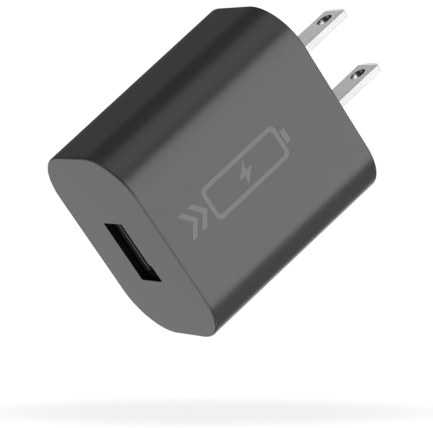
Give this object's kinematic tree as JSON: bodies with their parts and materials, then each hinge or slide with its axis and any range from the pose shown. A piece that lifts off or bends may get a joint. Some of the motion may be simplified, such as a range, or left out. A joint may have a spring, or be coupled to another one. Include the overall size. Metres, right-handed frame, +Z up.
{
  "type": "usb wall charger",
  "caption": "Compact rounded-block wall charger with flat parallel plug blades on one end and a USB-A socket in the other end.",
  "frame": {"origin": "centre of the plug face that meets the wall, midway between the blades", "axes": "+Y into the wall along the blades, +X along the blade spacing, +Z up when the charger lies on its broad side"},
  "size_m": [0.0418, 0.0624, 0.0286],
  "materials": {
    "housing_plastic": "satin moulded polycarbonate, dark grey",
    "cover_plastic": "fine matt moulded polycarbonate, dark grey",
    "blade_metal": "nickel plated brass, satin with bright edges",
    "spring_bronze": "phosphor bronze sheet",
    "socket_steel": "nickel plated steel sheet",
    "socket_insulator": "dark grey glass filled plastic",
    "contact_gold": "gold flashed copper alloy",
    "board_laminate": "green solder mask over glass epoxy",
    "solder": "bright solder",
    "ferrite": "sintered ferrite, dull grey black",
    "bobbin_plastic": "black phenolic",
    "copper_wire": "enamelled copper wire",
    "insulation_tape": "yellow polyester film",
    "capacitor_aluminium": "drawn aluminium can",
    "capacitor_sleeve": "shrunk plastic sleeve, dark",
    "capacitor_seal": "black rubber bung",
    "tinned_wire": "tinned wire",
    "package_epoxy": "black moulding compound",
    "disc_coating": "blue epoxy coat",
    "resistor_coating": "grey green lacquer",
    "chip_ceramic": "tan ceramic"
  },
  "bodies": {
    "root": {"blade_left": "blade_metal", "blade_right": "blade_metal", "blade_spring_left": "spring_bronze", "blade_spring_right": "spring_bronze", "bridge_rectifier": "package_epoxy", "bridge_rectifier_leads": "tinned_wire", "chip_capacitor_ends": "tinned_wire", "chip_capacitors": "chip_ceramic", "chip_resistor_ends": "tinned_wire", "chip_resistors": "package_epoxy", "controller_ic": "package_epoxy", "controller_ic_leads": "tinned_wire", "core_tape": "insulation_tape", "disc_capacitor": "disc_coating", "disc_capacitor_leads": "tinned_wire", "fuse_resistor": "resistor_coating", "fuse_resistor_leads": "tinned_wire", "housing": "housing_plastic", "inductor_core": "ferrite", "inductor_leads": "tinned_wire", "inductor_winding": "copper_wire", "input_capacitor_left_can": "capacitor_aluminium", "input_capacitor_left_leads": "tinned_wire", "input_capacitor_left_seal": "capacitor_seal", "input_capacitor_left_sleeve": "capacitor_sleeve", "input_capacitor_right_can": "capacitor_aluminium", "input_capacitor_right_leads": "tinned_wire", "input_capacitor_right_seal": "capacitor_seal", "input_capacitor_right_sleeve": "capacitor_sleeve", "layer_tape": "insulation_tape", "main_board": "board_laminate", "outer_tape": "insulation_tape", "output_capacitor_can": "capacitor_aluminium", "output_capacitor_leads": "tinned_wire", "output_capacitor_seal": "capacitor_seal", "output_capacitor_sleeve": "capacitor_sleeve", "output_diode": "package_epoxy", "output_diode_leads": "tinned_wire", "primary_winding": "copper_wire", "rear_cover": "cover_plastic", "secondary_winding": "copper_wire", "solder_joints": "solder", "transformer_bobbin": "bobbin_plastic", "transformer_core_front": "ferrite", "transformer_core_rear": "ferrite", "transformer_pins": "tinned_wire", "usb_contact_1": "contact_gold", "usb_contact_2": "contact_gold", "usb_contact_3": "contact_gold", "usb_contact_4": "contact_gold", "usb_shell": "socket_steel", "usb_tongue": "socket_insulator"}
  },
  "joints": []
}
